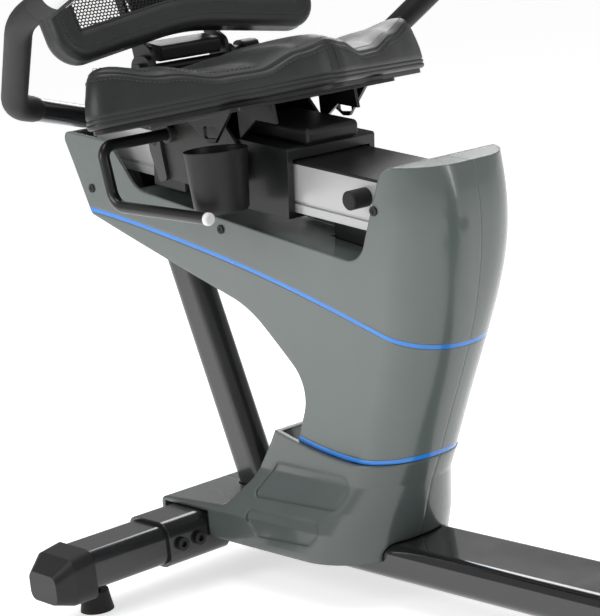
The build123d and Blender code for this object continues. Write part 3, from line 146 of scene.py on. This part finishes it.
FINISH_RULES = {
    "frame_black": dict(
        color=(0.012, 0.012, 0.013), rough=0.24, tone=0.12, grain=260, grain_depth=0.00004, coat=0.35,
        edge=0.002),
    "beam_gloss": dict(
        color=(0.008, 0.008, 0.009), rough=0.10, tone=0.1, grain=120, grain_depth=0.00003, coat=0.6,
        edge=0.003),
    "rail_silver": dict(
        color=(0.50, 0.505, 0.50), rough=0.30, metal=0.35, tone=0.03, grain=700, grain_depth=0.00001,
        coat=0.2, edge=0.0008),
    "strip_black": dict(color=(0.008, 0.008, 0.009), rough=0.34, tone=0.1, coat=0.05, specular=0.3),
    "cover_gray": dict(
        color=(0.098, 0.118, 0.112), rough=0.24, tone=0.035, rough_play=0.03, grain=90,
        grain_depth=0.00002, coat=0.35, edge=0.0035),
    "boot_gray": dict(
        color=(0.070, 0.085, 0.081), rough=0.24, tone=0.05, grain=90, grain_depth=0.00002, coat=0.4,
        edge=0.006),
    "accent_blue": dict(
        color=(0.015, 0.20, 0.66), rough=0.25, tone=0.04, grain=400, coat=0.4, edge=0.0006),
    "plastic_black": dict(
        color=(0.010, 0.010, 0.011), rough=0.40, tone=0.14, grain=1500, grain_depth=0.00008,
        edge=0.0012, specular=0.35),
    "rubber_black": dict(
        color=(0.012, 0.012, 0.012), rough=0.58, tone=0.2, grain=1200, grain_depth=0.0001, edge=0.0012,
        specular=0.3),
    "bracket_black": dict(
        color=(0.010, 0.0105, 0.011), rough=0.34, tone=0.12, grain=600, grain_depth=0.00006, coat=0.1,
        edge=0.001, specular=0.4),
    "screw_dark": dict(
        color=(0.02, 0.02, 0.021), rough=0.3, metal=0.6, tone=0.1, grain=1500, edge=0.0004),
    "leatherette": dict(
        color=(0.017, 0.018, 0.018), rough=0.42, tone=0.10, rough_play=0.05, grain=2400,
        grain_depth=0.00016, cells=850, edge=0, specular=0.45, patch=22),
    "mesh_black": dict(
        color=(0.012, 0.012, 0.013), rough=0.55, tone=0.15, grain=3000, grain_depth=0.0001, edge=0),
    "foam_black": dict(
        color=(0.011, 0.011, 0.0115), rough=0.52, tone=0.15, grain=1900, grain_depth=0.00014,
        cells=1300, edge=0.001, specular=0.35),
    "pulse_steel": dict(
        color=(0.60, 0.60, 0.61), rough=0.28, metal=1.0, tone=0.05, grain=420, grain_depth=0.00002,
        stretch=(0.12, 3, 3), edge=0.0005),
    "cap_white": dict(color=(0.72, 0.72, 0.70), rough=0.32, tone=0.03, coat=0.3),
    "paddle_gray": dict(color=(0.030, 0.030, 0.031), rough=0.34, tone=0.08, coat=0.2),
    "plate_satin": dict(color=(0.034, 0.032, 0.031), rough=0.42, tone=0.1, grain=600, edge=0.001),
    "steel": dict(color=(0.50, 0.50, 0.51), rough=0.32, metal=1.0, tone=0.06, stretch=(0.2, 2, 2)),
    "wheel_iron": dict(color=(0.16, 0.16, 0.165), rough=0.4, metal=0.9, tone=0.12),
    "screen_dark": dict(
        color=(0.006, 0.008, 0.011), rough=0.08, tone=0.05, grain=60, grain_depth=0.000005, coat=0.8,
        edge=0),
    "key_green": dict(color=(0.03, 0.30, 0.07), rough=0.3, tone=0.05, coat=0.3),
    "key_red": dict(color=(0.46, 0.025, 0.02), rough=0.3, tone=0.05, coat=0.3),
    "dial_silver": dict(color=(0.42, 0.43, 0.44), rough=0.3, metal=0.6, tone=0.05),
    "thread": dict(color=(0.055, 0.057, 0.058), rough=0.6, tone=0.2, grain=2500, edge=0),
}
FINISH = {name: surface(name, **rule) for name, rule in FINISH_RULES.items()}

# Nodes whose finish differs from their slot's, and slots that share another slot's finish.
NODE_FINISH = {
    "base_beam": "beam_gloss",
    "rail_top_strip": "strip_black",
    "end_caps": "plastic_black",
    "accent_trims": "accent_blue",
    "feet": "rubber_black",
    "side_plates": "plate_satin",
}
SLOT_FINISH = {"cap_black": "plastic_black"}
for row in frame["record"]["subparts"]:
    slot_name = row["material_slot"]
    finish = NODE_FINISH.get(row["node"], SLOT_FINISH.get(slot_name, slot_name))
    for material_slot in frame["nodes"][row["node"]].material_slots:
        material_slot.material = FINISH[finish]


# ---- mesh tools ---------------------------------------------------------
def mesh_piece(name, points, faces, finish, body, smooth=True):
    """New mesh object, in metres, that rides on a body."""
    mesh = bpy.data.meshes.new(name)
    mesh.from_pydata([tuple(p) for p in points], [], faces)
    mesh.validate()
    tidy = bmesh.new()
    tidy.from_mesh(mesh)
    bmesh.ops.recalc_face_normals(tidy, faces=tidy.faces)
    tidy.to_mesh(mesh)
    tidy.free()
    for polygon in mesh.polygons:
        polygon.use_smooth = smooth
    made = bpy.data.objects.new(name, mesh)
    bpy.context.scene.collection.objects.link(made)
    mesh.materials.append(FINISH[finish])
    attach(made, body)
    return made


def lofted(rows, closed_rows=True, cap_first=False, cap_last=False, closed_loft=False):
    """Points and faces of a surface through rows of equal length."""
    width = len(rows[0])
    points = [p for row in rows for p in row]
    faces = []
    count = len(rows)
    for r in range(count if closed_loft else count - 1):
        here, there = r * width, ((r + 1) % count) * width
        for c in range(width if closed_rows else width - 1):
            d = (c + 1) % width
            faces.append((here + c, here + d, there + d, there + c))
    for wanted, row in ((cap_first, 0), (cap_last, count - 1)):
        if wanted:
            centre = sum((Vector(p) for p in rows[row]), Vector()) / width
            points.append(centre)
            for c in range(width):
                faces.append((row * width + c, row * width + (c + 1) % width, len(points) - 1))
    return points, faces


def rounded(corners, step=3.0, closed=False):
    """Polyline through corners (point, radius) with an arc at each; returns evenly close points."""
    count = len(corners)
    out = []
    for i, (point, radius) in enumerate(corners):
        here = Vector(point)
        if not closed and i in (0, count - 1):
            out.append(here)
            continue
        before, after = Vector(corners[i - 1][0]), Vector(corners[(i + 1) % count][0])
        a, b = (before - here).normalized(), (after - here).normalized()
        half = a.angle(b) / 2
        reach = radius / tan(half)
        centre = here + (a + b).normalized() * (radius / sin(half))
        start, end = here + a * reach - centre, here + b * reach - centre
        turn = pi - 2 * half
        pieces = max(2, int(turn * radius / step) + 1)
        for k in range(pieces + 1):
            f = k / pieces
            out.append(centre + (start * sin((1 - f) * turn) + end * sin(f * turn)) / sin(turn))
    return out


def resampled(points, count, closed=False):
    """The same path cut into equal lengths."""
    path = points + [points[0]] if closed else points
    lengths = [0.0]
    for a, b in zip(path, path[1:]):
        lengths.append(lengths[-1] + (b - a).length)
    total, out, k = lengths[-1], [], 0
    for i in range(count):
        s = total * i / (count if closed else count - 1)
        while k < len(path) - 2 and lengths[k + 1] < s:
            k += 1
        span = lengths[k + 1] - lengths[k] or 1.0
        out.append(path[k].lerp(path[k + 1], (s - lengths[k]) / span))
    return out


def outline_with_normals(corners, step, count, middle):
    """Even points round a closed outline, with unit normals towards the middle, in its own plane."""
    path = resampled(rounded(corners, step, True), count, True)
    inward = []
    for i in range(count):
        along = (path[(i + 2) % count] - path[i - 2]).normalized()
        inward.append(Vector((-along.y, along.x, 0)))
    if (middle - path[0]).dot(inward[0]) < 0:
        inward = [-n for n in inward]
    return path, inward


def tube_rows(path, radius_at, sides=24, up=Vector((0, 0, 1))):
    """Rings round a path in mm; radius_at gives the radius at a fraction of its length."""
    rows = []
    count = len(path)
    side = None
    for i, point in enumerate(path):
        along = (path[min(i + 1, count - 1)] - path[max(i - 1, 0)]).normalized()
        if side is None:
            side = along.cross(up).normalized()
        side = (side - along * side.dot(along)).normalized()
        other = along.cross(side)
        r = radius_at(i / (count - 1))
        angles = [2 * pi * k / sides for k in range(sides)]
        rows.append([point + (side * cos(a) + other * sin(a)) * r for a in angles])
    return rows


def to_metres(rows):
    return [[place(*p) for p in row] for row in rows]


# One stitch: (place along it, width, rise), each as a share of its length or thickness.
STITCH_SECTIONS = [(-0.5, 0.25, -0.3), (-0.3, 1.0, 0.35), (0.3, 1.0, 0.35), (0.5, 0.25, -0.3)]
STITCH_CORNERS = [(-1, 0), (0, 1), (1, 0), (0, -1)]


def stitch_row(name, path, normals, body, length=3.0, pitch=4.6, thick=0.42, lift=0.25):
    """Short thread stitches lying along a path, as one mesh."""
    points, faces = [], []
    travelled, target = 0.0, 0.0
    for i in range(len(path) - 1):
        a, b = path[i], path[i + 1]
        span = (b - a).length
        while target <= travelled + span:
            t = (target - travelled) / span if span else 0
            centre = a.lerp(b, t)
            along = (b - a).normalized()
            normal = normals[i].lerp(normals[i + 1], t).normalized()
            side = along.cross(normal).normalized()
            base = len(points)
            for f, w, h in STITCH_SECTIONS:
                c = centre + along * (length * f) + normal * (lift + h * thick)
                for s, u in STITCH_CORNERS:
                    points.append(place(*(c + side * (s * thick * w) + normal * (u * thick * w))))
            for r in range(3):
                here, there = base + 4 * r, base + 4 * r + 4
                for k in range(4):
                    d = (k + 1) % 4
                    faces.append((here + k, here + d, there + d, there + k))
            faces.append((base, base + 1, base + 2, base + 3))
            faces.append((base + 12, base + 13, base + 14, base + 15))
            target += pitch
        travelled += span
    return mesh_piece(name, points, faces, "thread", body)


def smoothstep(low, high, value):
    t = max(0.0, min(1.0, (value - low) / (high - low)))
    return t * t * (3 - 2 * t)


def through(table, value):
    """Smooth reading between the (place, height) pairs of a table."""
    if value <= table[0][0]:
        return table[0][1]
    for (x0, y0), (x1, y1) in zip(table, table[1:]):
        if value <= x1:
            return y0 + (y1 - y0) * smoothstep(x0, x1, value)
    return table[-1][1]


# ---- seat cushion -------------------------------------------------------
SEAT_X, SEAT_Z, SEAT_TILT = 123.0, 541.0, radians(7.8)
# Corners of the seat in its own plane, forward and to the left, each with its radius.
SEAT_OUTLINE = [
    ((122, 0, 0), 45), ((0, 250, 0), 24), ((-122, 138, 0), 40), ((-122, -138, 0), 40),
    ((0, -250, 0), 24),
]
SEAT_POINTS = 640


def on_seat(a, y, h):
    """Point at a forward, y left and h above the seat's underside."""
    x = SEAT_X + a * cos(SEAT_TILT) - h * sin(SEAT_TILT)
    z = SEAT_Z + a * sin(SEAT_TILT) + h * cos(SEAT_TILT)
    return Vector((x, y, z))


SIDE_INSET = 1.2
# Height of the rim seam by distance from the centre line, and along the seat's rear edge.
SEAT_RIM = [(0, 44), (32, 39), (72, 27), (108, 28), (160, 40), (222, 55), (250, 57)]
SEAT_REAR_RIM = 38


SEAT_PATH, SEAT_IN = outline_with_normals(SEAT_OUTLINE, 2.0, SEAT_POINTS, Vector((-10, 0, 0)))


def seat_height(a, y):
    """Height of the cushion's rim seam over the seat's underside."""
    rim = through(SEAT_RIM, abs(y))
    rearward = smoothstep(20, 110, -a)
    return rim * (1 - rearward) + SEAT_REAR_RIM * rearward


def seat_side(i, h, inset=0.0):
    """Point of the cushion's side at outline point i, h above its underside."""
    p, n = SEAT_PATH[i], SEAT_IN[i]
    v = h / seat_height(p.x, p.y)
    lean = (5 + 9 * smoothstep(200, 250, abs(p.y))) * v ** 1.3
    bulge = -1.6 * sin(pi * min(1, max(0, v)))
    return p + n * (SIDE_INSET + lean + bulge + inset)


def crowned(inner):
    """Rise of the cushion's top over the rim seam, at a distance in from it."""
    return 14.0 * (1 - exp(-((inner + 1.5) / 17) ** 0.9))


# Lower side: (height above the underside, inset), with two grooves beside the piping.
LOWER_SIDE = [
    (0.0, 9.0), (0.0, 3.0), (1.0, 1.2), (2.6, 0.2), (4.6, 0.0), (5.4, 0.5), (6.0, 1.5), (6.6, 0.5),
    (7.4, 0.0), (9.2, 0.0), (9.9, 0.5), (10.5, 1.5), (11.1, 0.5), (12.0, 0.0), (16.0, 0.0),
]
# Upper side: (depth below the rim, inset), with the groove of the rim seam.
UPPER_SIDE = [(5.0, 0.0), (2.4, 0.2), (1.2, 0.7), (0.4, 1.7), (-0.4, 1.8), (-1.0, 1.0)]
TOP_RINGS = 36
TOP_INSET = 2.6
TOP_LIFT = 1.2


def rim_at(i):
    """Height of the rim seam over the seat's underside at outline point i."""
    return seat_height(SEAT_PATH[i].x, SEAT_PATH[i].y)


def cushion_side():
    """Rings of the cushion's side, from the underside up to just over the rim seam."""
    outline = range(len(SEAT_PATH))
    rows = [[on_seat(*seat_side(i, h, inset).xy, h) for i in outline] for h, inset in LOWER_SIDE]
    low, below_rim = LOWER_SIDE[-1][0], UPPER_SIDE[0][0]
    for f in (0.2, 0.4, 0.6, 0.8):
        row = []
        for i in outline:
            p = SEAT_PATH[i]
            h = low + (rim_at(i) - below_rim - low) * f
            pucker = 0.35 * noise.noise(Vector((p.x * 0.06, p.y * 0.06, h * 0.12)))
            row.append(on_seat(*seat_side(i, h, pucker).xy, h))
        rows.append(row)
    for below, inset in UPPER_SIDE:
        rows.append([on_seat(*seat_side(i, rim_at(i) - below, inset).xy, rim_at(i) - below) for i in outline])
    return rows


def cushion_top():
    """Rings drawn in from the rim to the middle, over a crowned surface with two thigh hollows."""
    rows = []
    middle = Vector((-8, 0, 0))
    for ring in range(1, TOP_RINGS + 1):
        spread = (ring / (TOP_RINGS + 1)) ** 1.6
        row = []
        for i in range(len(SEAT_PATH)):
            edge = seat_side(i, rim_at(i), TOP_INSET)
            edge = Vector((edge.x, edge.y, 0))
            p = edge.lerp(middle, spread)
            inner = (edge - p).length
            crease = 0.5 * noise.noise(Vector((p.x * 0.02, p.y * 0.02, 3.1))) * min(1, inner / 20)
            row.append(on_seat(p.x, p.y, seat_height(p.x, p.y) + TOP_LIFT + crowned(inner) + crease))
        rows.append(row)
    return rows


def seam_over():
    """Path and normals of the stitches on the cushion's top, beside the rim seam."""
    path, normals = [], []
    across = 5.0
    for i in [*range(len(SEAT_PATH)), 0]:
        q = seat_side(i, rim_at(i), TOP_INSET) + SEAT_IN[i] * across
        path.append(on_seat(q.x, q.y, rim_at(i) + TOP_LIFT + crowned(across)))
        normals.append(on_seat(0, 0, 1) - on_seat(0, 0, 0))
    return path, normals


def seam_under():
    """Path and normals of the stitches on the cushion's side, below the rim seam."""
    path, normals = [], []
    for i in [*range(len(SEAT_PATH)), 0]:
        h = rim_at(i) - 6.0
        q = seat_side(i, h, -0.2)
        path.append(on_seat(q.x, q.y, h))
        normals.append(on_seat(-SEAT_IN[i].x, -SEAT_IN[i].y, 0) - on_seat(0, 0, 0))
    return path, normals


def build_cushion():
    points, faces = lofted(to_metres(cushion_side() + cushion_top()), True, True, True)
    cushion = mesh_piece("seat_cushion_cover", points, faces, "leatherette", "carriage")
    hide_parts("seat_cushion")
    for label, (path, normals) in (("over", seam_over()), ("under", seam_under())):
        stitch_row("seat_stitches_" + label, path, normals, "carriage")
    # Two raised seams run down the side at the nose.
    count = len(SEAT_PATH)
    front = min(range(count), key=lambda i: (SEAT_PATH[i] - Vector((110, 0, 0))).length)
    for label, shift in (("left", 3), ("right", -3)):
        i = (front + shift) % count
        low, high, steps = 14.5, rim_at(i) - 3, 23
        path = []
        for k in range(steps + 1):
            h = low + (high - low) * k / steps
            path.append(on_seat(*seat_side(i, h, 0.1).xy, h))
        rows = tube_rows(path, lambda f: 0.9, 8, Vector((0, 1, 0)))
        points, faces = lofted(to_metres(rows), True, True, True)
        mesh_piece("seat_nose_seam_" + label, points, faces, "leatherette", "carriage")


build_cushion()

# ---- backrest -----------------------------------------------------------
BACK_X, BACK_Z, RECLINE = 15.0, 600.0, radians(21.0)
BACK_T, RIM_W = 34.0, 36.0
# Corners of the backrest in its own plane, to the left and up, each with its radius.
BACK_OUTLINE = [
    ((-181, 0, 0), 34), ((0, 26, 0), 260), ((181, 0, 0), 34), ((195, 250, 0), 200), ((163, 470, 0), 70),
    ((-163, 470, 0), 70), ((-195, 250, 0), 200),
]


def on_back(y, u, d):
    """Point y to the left, u up the backrest and d forward of its front face."""
    x = BACK_X + d * cos(RECLINE) - u * sin(RECLINE)
    z = BACK_Z + d * sin(RECLINE) + u * cos(RECLINE)
    return Vector((x, y, z))


BACK_PATH, BACK_IN = outline_with_normals(BACK_OUTLINE, 3.0, 560, Vector((0, 230, 0)))
BACK_FORWARD = on_back(0, 0, 1) - on_back(0, 0, 0)
RING_SIDES = 40
RING_POWER = 0.62
GROOVE = 1.2
BEAD_R = 2.0


def signed_power(value, power):
    return (abs(value) ** power) * (1 if value > 0 else -1)


def build_ring():
    """Padded ring: a rounded-square section carried round the outline, with a groove at mid-thickness."""
    rows = []
    for k in range(RING_SIDES):
        a = 2 * pi * k / RING_SIDES
        inset = RIM_W / 2 - signed_power(cos(a), RING_POWER) * (RIM_W / 2 - 0.6)
        depth = -BACK_T / 2 + signed_power(sin(a), RING_POWER) * (BACK_T / 2 - 0.4)
        groove = GROOVE if inset < 3 and abs(depth + BACK_T / 2) < GROOVE else 0.0
        row = []
        for point, normal in zip(BACK_PATH, BACK_IN):
            q = point + normal * (inset + groove)
            wave = 0.35 * noise.noise(Vector((q.x * 0.03, q.y * 0.03, depth * 0.1)))
            row.append(on_back(q.x, q.y, depth + wave))
        rows.append(row)
    points, faces = lofted(to_metres(rows), True, closed_loft=True)
    ring = mesh_piece("backrest_pad", points, faces, "leatherette", "backrest")
    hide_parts("backrest_frame")
    for label, inset, depth in (("front", 13.0, 0.0), ("inner", 27.0, -1.2)):
        line = [on_back(*(p + n * inset).xy, depth - 0.2) for p, n in zip(BACK_PATH, BACK_IN)]
        line.append(line[0])
        stitch_row("backrest_stitches_" + label, line, [BACK_FORWARD] * len(line), "backrest")


def build_bead():
    """Piping bead along the ring's inner edge."""
    inset = RIM_W - BEAD_R
    bead = [on_back(*(point + normal * inset).xy, -6.0) for point, normal in zip(BACK_PATH, BACK_IN)]
    angles = [k * pi / 4 for k in range(8)]
    rows = []
    for i, centre in enumerate(bead):
        along = (bead[(i + 1) % len(bead)] - bead[i - 1]).normalized()
        side = along.cross(BACK_FORWARD)
        rows.append([centre + (side * cos(a) + BACK_FORWARD * sin(a)) * BEAD_R for a in angles])
    points, faces = lofted(to_metres(rows), True, closed_loft=True)
    mesh_piece("backrest_bead", points, faces, "leatherette", "backrest")


NET_PITCH = 4.8
NET_WIRE = 0.0018
NET_DISH = 5.0
NET_ALLOWANCE = 8.0
HEXAGON = [(0, 0.5), (0.5, 0.25), (0.5, -0.25), (0, -0.5), (-0.5, -0.25), (-0.5, 0.25)]


def inside(lines, x, y):
    """Whether a point lies inside the closed outline made of these lines."""
    hit = False
    for a, b in lines:
        if (a.y > y) != (b.y > y) and x < (b.x - a.x) * (y - a.y) / (b.y - a.y) + a.x:
            hit = not hit
    return hit


def build_net():
    """Stretch mesh: a net of hexagonal holes, slightly dished away from the rider."""
    inner = [point + normal * (RIM_W - NET_ALLOWANCE) for point, normal in zip(BACK_PATH, BACK_IN)]
    lines = list(zip(inner, inner[1:] + inner[:1]))
    corners, index, cells = [], {}, []

    def corner(x, y):
        key = (round(x * 4), round(y * 4))
        if key not in index:
            index[key] = len(corners)
            dish = NET_DISH * max(0.0, 1 - (x / 160) ** 2) * max(0.0, 1 - ((y - 240) / 220) ** 2)
            corners.append(place(*on_back(x, y, -BACK_T / 2 - dish)))
        return index[key]

    rise = NET_PITCH * 0.75
    for r in range(int(480 / rise)):
        for c in range(-43, 44):
            x = (c + 0.5 * (r % 2)) * NET_PITCH
            y = 14 + r * rise
            if inside(lines, x, y):
                cells.append([corner(x + dx * NET_PITCH, y + dy * NET_PITCH) for dx, dy in HEXAGON])
    net = mesh_piece(
        "backrest_net", corners, cells, "mesh_black", "backrest", smooth=False)
    wires = net.modifiers.new("wires", "WIREFRAME")
    wires.thickness = NET_WIRE
    wires.use_even_offset = False
    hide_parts("backrest_mesh")


build_ring()
build_bead()
build_net()

# ---- foam sleeves on the side handles -----------------------------------
TUBE_R = 14.0
HANDLE_ROOT = Vector((-16, 150, 541))
BEND = Vector((22.0, 262.0, 569.0))
HANDLE_TOP = BEND + Vector((0.72, 0.33, 0.605)) * 150
SLEEVE_END = HANDLE_TOP + Vector((0.93, 0.02, 0.36)) * 46
SLEEVE_INSET = 1.3


def mirrored(point, hand):
    return Vector((point.x, hand * point.y, point.z))


for label, hand in (("left", 1), ("right", -1)):
    route = [
        (mirrored(HANDLE_ROOT, hand), 60), (mirrored(BEND, hand), 42), (mirrored(HANDLE_TOP, hand), 90),
        (mirrored(SLEEVE_END, hand), 0),
    ]
    path = resampled(rounded(route, 3.0), 90)[24:]
    rows = tube_rows(path, lambda f: TUBE_R - SLEEVE_INSET * (exp(-f * 60) + exp(-(1 - f) * 60)), 28)
    points, faces = lofted(to_metres(rows), True, True, True)
    mesh_piece("handle_sleeve_" + label, points, faces, "foam_black", "carriage")

# ---- floor, light and camera --------------------------------------------
FLOOR = 60.0
FLOOR_ROWS = [[Vector((x, y, 0)) for y in (-FLOOR, FLOOR)] for x in (-FLOOR, FLOOR)]
points, faces = lofted(FLOOR_ROWS, closed_rows=False)
floor_mesh = bpy.data.meshes.new("floor")
floor_mesh.from_pydata([tuple(p) for p in points], [], faces)
floor = bpy.data.objects.new("floor", floor_mesh)
bpy.context.scene.collection.objects.link(floor)
floor_white, _, shader = node_tree("floor_white")
shader.inputs["Base Color"].default_value = (0.93, 0.93, 0.93, 1)
shader.inputs["Roughness"].default_value = 0.7
shader.inputs["Specular IOR Level"].default_value = 0.1
shader.inputs["Emission Color"].default_value = (1, 1, 1, 1)
shader.inputs["Emission Strength"].default_value = 0.6
floor_mesh.materials.append(floor_white)

world = bpy.data.worlds.new("studio")
world.use_nodes = True
bpy.context.scene.world = world
background = world.node_tree.nodes["Background"]
background.inputs["Strength"].default_value = 0.40
background.inputs["Color"].default_value = (1, 1, 1, 1)


def softbox(name, position, target, size, power):
    light = bpy.data.lights.new(name, "AREA")
    light.shape = "RECTANGLE"
    light.size, light.size_y = size
    light.energy = power
    lamp = bpy.data.objects.new(name, light)
    bpy.context.scene.collection.objects.link(lamp)
    lamp.location = position
    lamp.rotation_euler = (Vector(target) - Vector(position)).to_track_quat("-Z", "Y").to_euler()


softbox("overhead", (-0.5, -0.3, 3.0), (-0.3, 0, 0.4), (1.8, 1.8), 34)
softbox("key", (-1.2, -2.6, 1.6), (-0.3, 0, 0.4), (1.0, 1.6), 34)
softbox("right", (2.4, 0.5, 1.2), (-0.3, 0, 0.4), (0.5, 1.8), 22)
softbox("back", (-2.0, 1.8, 1.8), (-0.3, 0, 0.5), (1.2, 1.2), 20)

# The camera stands to the front right, looks a little down and is slightly rolled.
AZIMUTH, PITCH, ROLL = radians(50.4505), radians(11.4536), 0.109756
CAMERA_AT = (1855.22, -1421.45, 758.80)
SENSOR = 36
LENS_PER_SENSOR = 3.43435
forward = Vector((-sin(AZIMUTH) * cos(PITCH), cos(AZIMUTH) * cos(PITCH), -sin(PITCH)))
level_right = Vector((cos(AZIMUTH), sin(AZIMUTH), 0))
level_up = level_right.cross(forward)
right = level_right * cos(ROLL) - level_up * sin(ROLL)
up = level_right * sin(ROLL) + level_up * cos(ROLL)
lens = bpy.data.cameras.new("camera")
lens.sensor_fit = "HORIZONTAL"
lens.sensor_width = SENSOR
lens.lens = SENSOR * LENS_PER_SENSOR
lens.clip_end = 200
camera = bpy.data.objects.new("camera", lens)
bpy.context.scene.collection.objects.link(camera)
turn = Matrix((right, up, -forward)).transposed().to_4x4()
camera.matrix_world = Matrix.Translation(place(*CAMERA_AT)) @ turn
bpy.context.scene.camera = camera
bpy.context.scene.view_settings.view_transform = "Standard"
